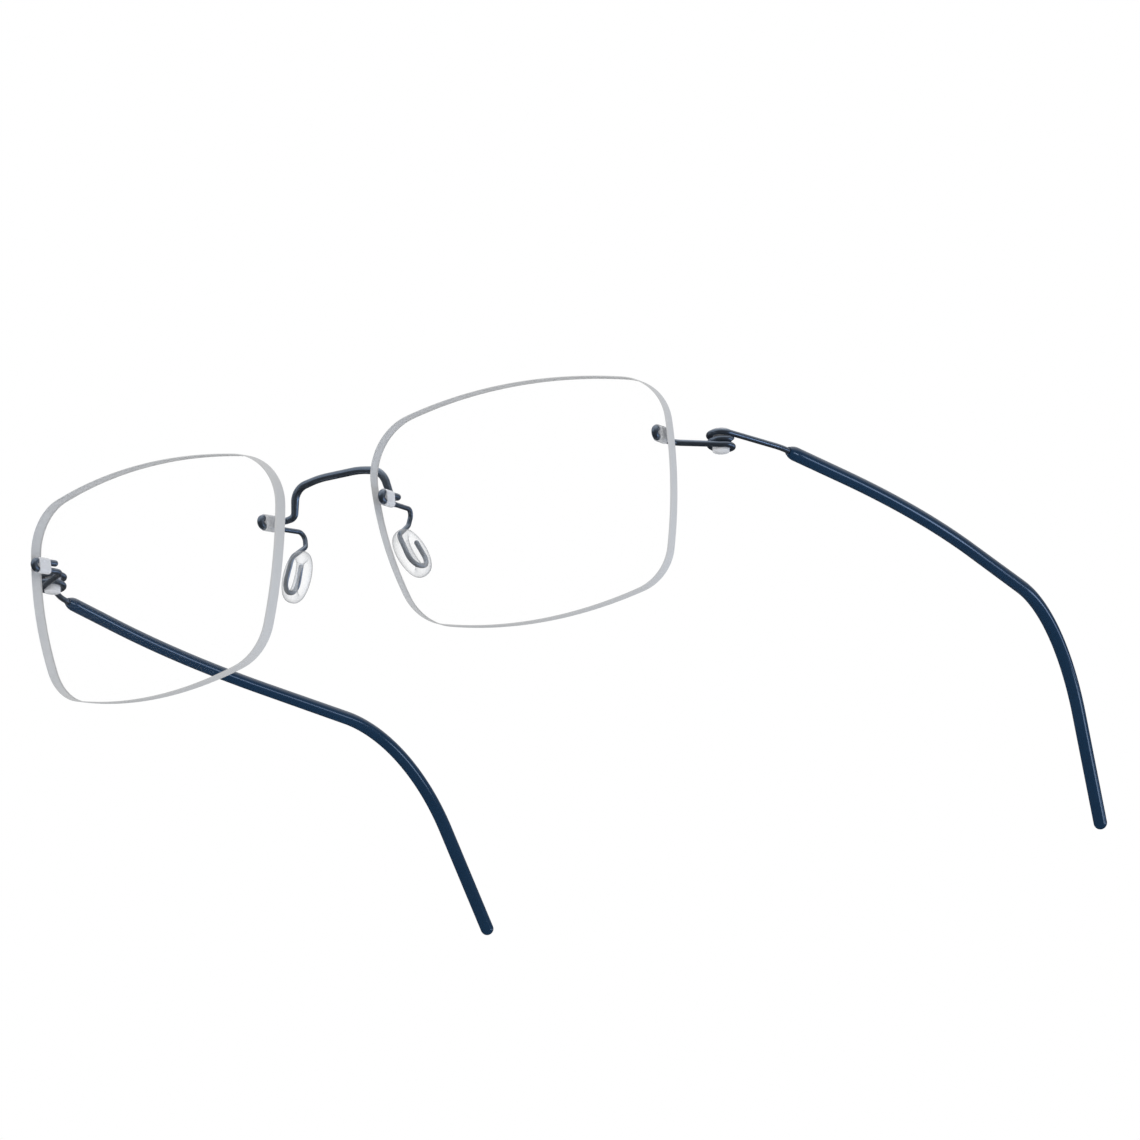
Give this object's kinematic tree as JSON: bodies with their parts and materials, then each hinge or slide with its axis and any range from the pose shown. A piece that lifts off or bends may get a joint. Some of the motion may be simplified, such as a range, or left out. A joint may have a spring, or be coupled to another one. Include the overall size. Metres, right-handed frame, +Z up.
{
  "type": "rimless eyeglasses",
  "caption": "Rimless eyeglasses: drilled lenses held by bent wire hairpins, wire bridge with nose pads, screwless coil hinges and wire temples with soft sleeves.",
  "frame": {"origin": "middle of the footprint, on the surface that the open eyeglasses stand on", "axes": "+Z up, +Y back along the temples, the lens fronts face -Y, +X towards the wearer's left temple"},
  "size_m": [0.1456, 0.153, 0.0382],
  "materials": {
    "lens": "clear polished, ground edge",
    "clear_bush": "clear moulded plastic",
    "silicone": "clear soft silicone",
    "titanium": "satin slate blue",
    "sleeve": "glossy navy"
  },
  "bodies": {
    "front": {"lens_left": "lens", "lens_right": "lens", "bush_nasal_left": "clear_bush", "bush_nasal_right": "clear_bush", "bush_outer_left": "clear_bush", "bush_outer_right": "clear_bush", "bridge_wire": "titanium", "nose_pad_left": "silicone", "nose_pad_right": "silicone", "endpiece_wire_left": "titanium", "endpiece_wire_right": "titanium", "hinge_bush_left": "clear_bush", "hinge_bush_right": "clear_bush"},
    "temple_left": {"temple_wire_left": "titanium", "temple_sleeve_left": "sleeve"},
    "temple_right": {"temple_wire_right": "titanium", "temple_sleeve_right": "sleeve"}
  },
  "joints": [
    {"name": "hinge_left", "type": "hinge", "parent": "front", "child": "temple_left", "pos_m": [-0.06435, -0.05908, 0.02861], "axis": [0, 0, -1], "range_deg": [0, 90]},
    {"name": "hinge_right", "type": "hinge", "parent": "front", "child": "temple_right", "pos_m": [0.06435, -0.05908, 0.02861], "axis": [0, 0, 1], "range_deg": [0, 84]}
  ]
}
